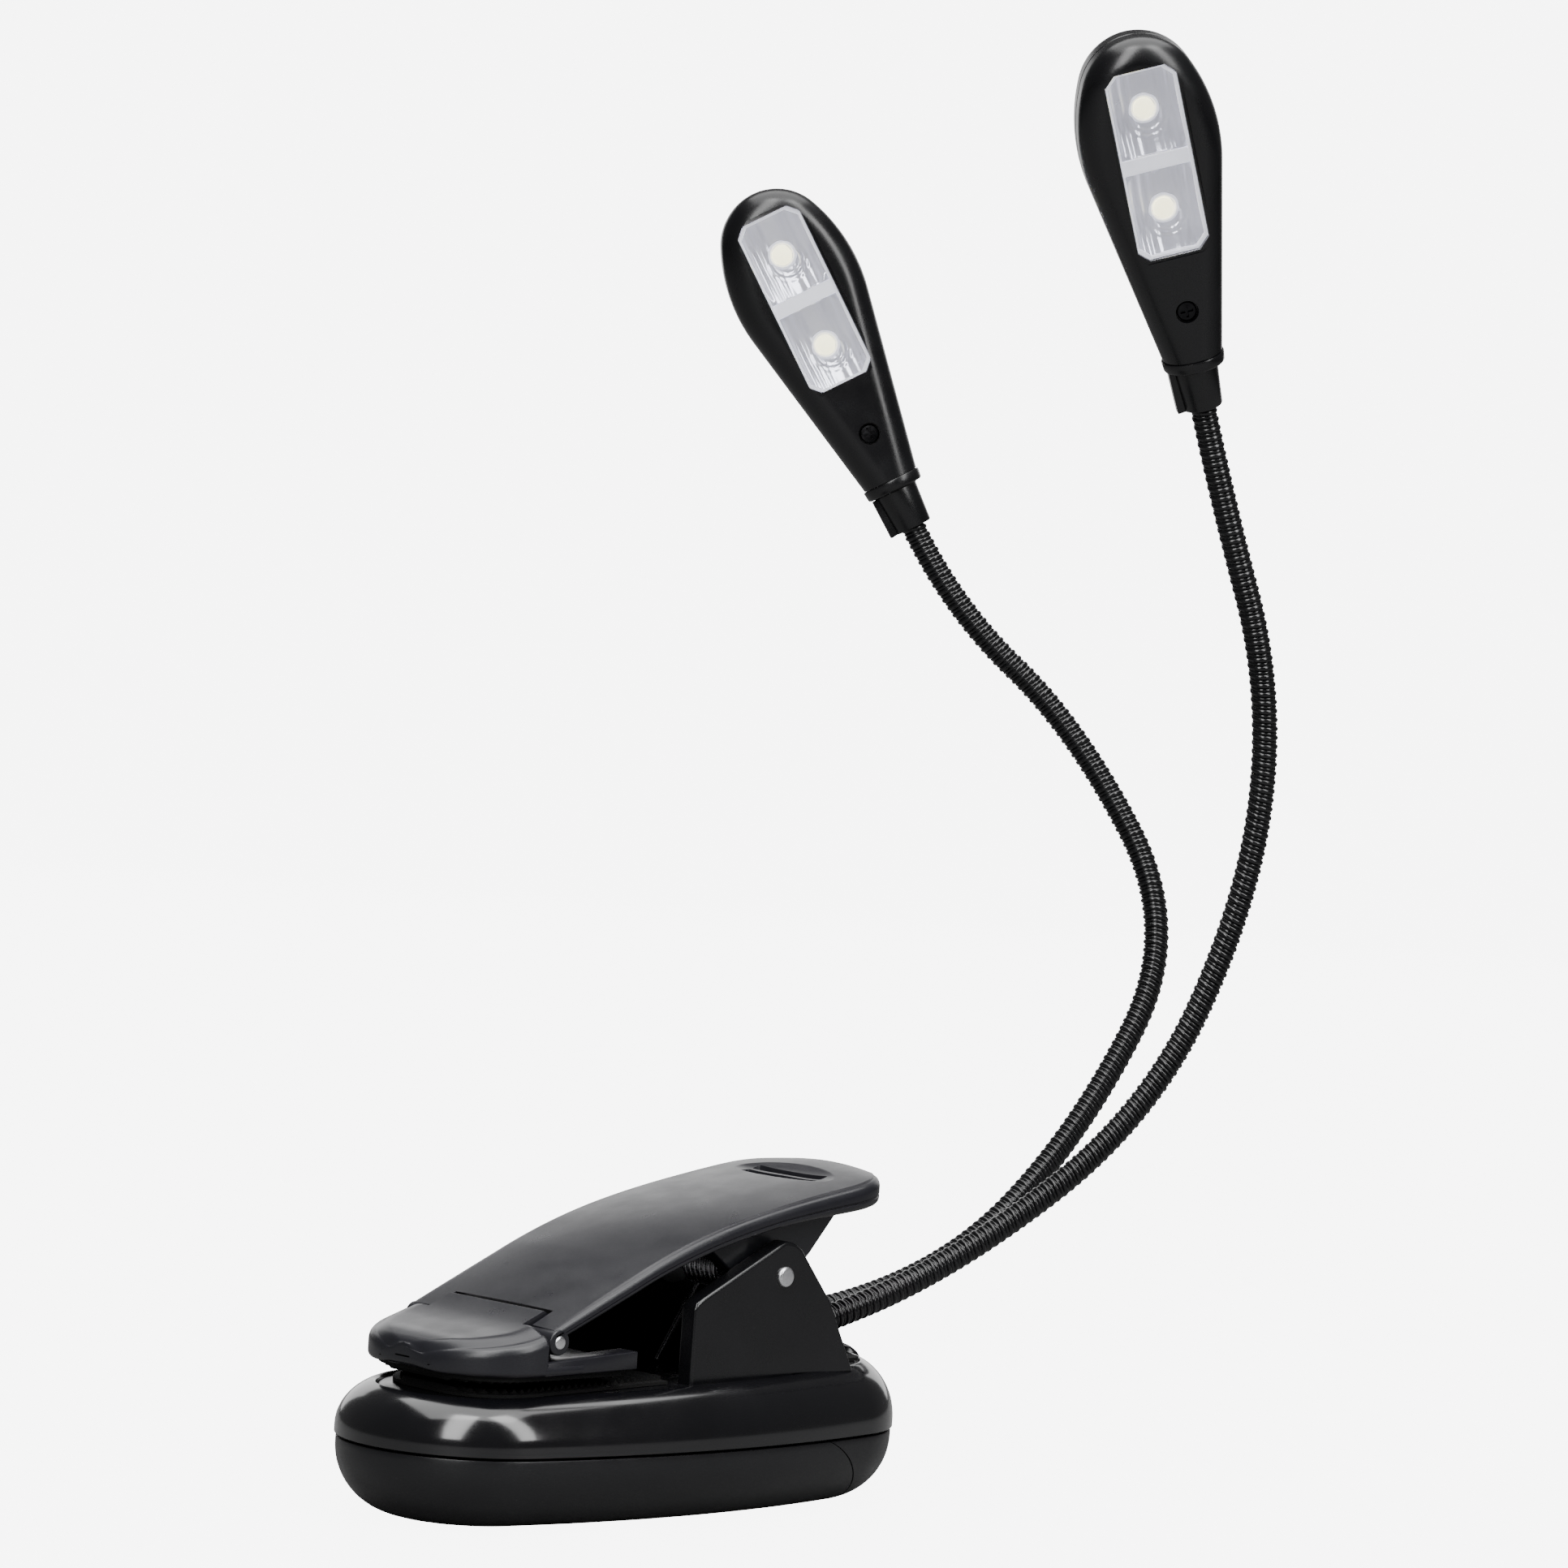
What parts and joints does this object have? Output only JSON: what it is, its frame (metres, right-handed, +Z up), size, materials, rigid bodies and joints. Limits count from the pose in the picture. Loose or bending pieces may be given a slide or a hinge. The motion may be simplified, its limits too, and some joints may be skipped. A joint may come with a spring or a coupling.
{
  "type": "clip on reading lamp",
  "caption": "Battery reading lamp with a sprung clip on an oval base and two flexible goosenecks, each carrying a slim teardrop head with twin emitters.",
  "frame": {"origin": "centre of the base's flat underside, on the surface it stands on", "axes": "+Z up, +X to the rear where the goosenecks leave, jaw end towards -X, -Y the near side"},
  "size_m": [0.1626, 0.1039, 0.2156],
  "materials": {
    "gloss_shell": "polished",
    "satin_shell": "satin",
    "deck_metal": "satin",
    "inner_plastic": "matte",
    "pad_rubber": "matte",
    "cell_case": "satin",
    "contact_metal": "plated",
    "board": "satin",
    "button_plastic": "satin",
    "pin_steel": "bright",
    "spring_steel": "bright",
    "screw_steel": "blackened",
    "gooseneck_black": "satin",
    "wire_insulation": "matte",
    "head_shell": "satin",
    "ferrule_black": "satin",
    "lens_clear": "clear",
    "reflector_silver": "bright",
    "led_board_white": "matte",
    "led_phosphor": "domed"
  },
  "bodies": {
    "base": {"upper_shell": "gloss_shell", "rear_casing": "satin_shell", "battery_tray": "inner_plastic", "battery_1": "cell_case", "battery_2": "cell_case", "battery_3": "cell_case", "contact_springs": "contact_metal", "contact_plates": "contact_metal", "driver_board": "board", "push_switch": "inner_plastic", "deck_bracket": "deck_metal", "deck_pad_front": "pad_rubber", "deck_pad_rear": "pad_rubber", "arm_clamp": "inner_plastic", "bracket_screws": "screw_steel", "casing_screws": "screw_steel", "pivot_pin": "pin_steel", "torsion_spring": "spring_steel", "near_gooseneck_root": "gooseneck_black", "near_wires_root": "wire_insulation", "far_gooseneck_root": "gooseneck_black", "far_wires_root": "wire_insulation"},
    "door": {"battery_door": "satin_shell"},
    "button": {"power_button": "button_plastic"},
    "lever": {"lever": "satin_shell", "jaw_pin": "pin_steel"},
    "jaw": {"jaw": "satin_shell", "jaw_pad": "pad_rubber"},
    "near_lower": {"near_gooseneck_lower": "gooseneck_black", "near_wires_lower": "wire_insulation"},
    "near_middle": {"near_gooseneck_middle": "gooseneck_black", "near_wires_middle": "wire_insulation"},
    "near_upper": {"near_gooseneck_upper": "gooseneck_black", "near_wires_upper": "wire_insulation"},
    "near_head": {"near_gooseneck_tip": "gooseneck_black", "near_wires_tip": "wire_insulation", "near_ferrule": "ferrule_black", "near_front_shell": "head_shell", "near_back_shell": "head_shell", "near_lens": "lens_clear", "near_reflector": "reflector_silver", "near_led_board": "led_board_white", "near_leds": "led_phosphor", "near_head_screw": "screw_steel"},
    "far_lower": {"far_gooseneck_lower": "gooseneck_black", "far_wires_lower": "wire_insulation"},
    "far_middle": {"far_gooseneck_middle": "gooseneck_black", "far_wires_middle": "wire_insulation"},
    "far_upper": {"far_gooseneck_upper": "gooseneck_black", "far_wires_upper": "wire_insulation"},
    "far_head": {"far_gooseneck_tip": "gooseneck_black", "far_wires_tip": "wire_insulation", "far_ferrule": "ferrule_black", "far_front_shell": "head_shell", "far_back_shell": "head_shell", "far_lens": "lens_clear", "far_reflector": "reflector_silver", "far_led_board": "led_board_white", "far_leds": "led_phosphor", "far_head_screw": "screw_steel"}
  },
  "joints": [
    {"name": "lever_pivot", "type": "hinge", "parent": "base", "child": "lever", "pos_m": [0.0165, 0, 0.0338], "axis": [0, 1, 0], "range_deg": [0, 25], "stiffness_Nm_per_rad": 0.12, "springref_deg": -17.19, "deforming": ["torsion_spring"]},
    {"name": "jaw_pivot", "type": "hinge", "parent": "lever", "child": "jaw", "pos_m": [-0.0267, 0, 0.0262], "axis": [0, 1, 0], "range_deg": [-12, 0]},
    {"name": "button_press", "type": "slide", "parent": "base", "child": "button", "axis": [-0.6494, 0, -0.7605], "range_m": [0, 0.0008], "stiffness_N_per_m": 1500, "springref_m": -0.0004},
    {"name": "door_slide", "type": "slide", "parent": "base", "child": "door", "axis": [-1, 0, 0], "range_m": [0, 0.02]},
    {"name": "near_root_swing", "type": "hinge", "parent": "base", "child": "near_lower", "pos_m": [0.042, -0.0043, 0.027], "axis": [0, 0, 1], "range_deg": [-50, 0]},
    {"name": "near_low_bend", "type": "hinge", "parent": "near_lower", "child": "near_middle", "pos_m": [0.0955, -0.0201, 0.07305], "axis": [0.0601, 0.9571, 0.2834], "range_deg": [-35, 35]},
    {"name": "near_high_bend", "type": "hinge", "parent": "near_middle", "child": "near_upper", "pos_m": [0.097, -0.02815, 0.10585], "axis": [-0.0239, 0.9857, 0.1667], "range_deg": [-35, 35]},
    {"name": "near_head_tilt", "type": "hinge", "parent": "near_upper", "child": "near_head", "pos_m": [0.0876, -0.0308, 0.13555], "axis": [0.6907, -0.6347, 0.3465], "range_deg": [-35, 35]},
    {"name": "far_root_swing", "type": "hinge", "parent": "base", "child": "far_lower", "pos_m": [0.04625, 0.0039, 0.026], "axis": [0, 0, 1], "range_deg": [0, 50]},
    {"name": "far_low_bend", "type": "hinge", "parent": "far_lower", "child": "far_middle", "pos_m": [0.10535, 0.00265, 0.0665], "axis": [0.0289, 0.9983, 0.0501], "range_deg": [-35, 35]},
    {"name": "far_high_bend", "type": "hinge", "parent": "far_middle", "child": "far_upper", "pos_m": [0.1094, 0.0097, 0.0975], "axis": [0.1396, 0.8933, -0.4273], "range_deg": [-35, 35]},
    {"name": "far_head_tilt", "type": "hinge", "parent": "far_upper", "child": "far_head", "pos_m": [0.097, 0.0248, 0.1214], "axis": [0.4824, -0.4286, 0.7639], "range_deg": [-35, 35]}
  ],
  "couplings": [
    {"joint": "jaw_pivot", "follows": "lever_pivot", "ratio": -0.4}
  ]
}
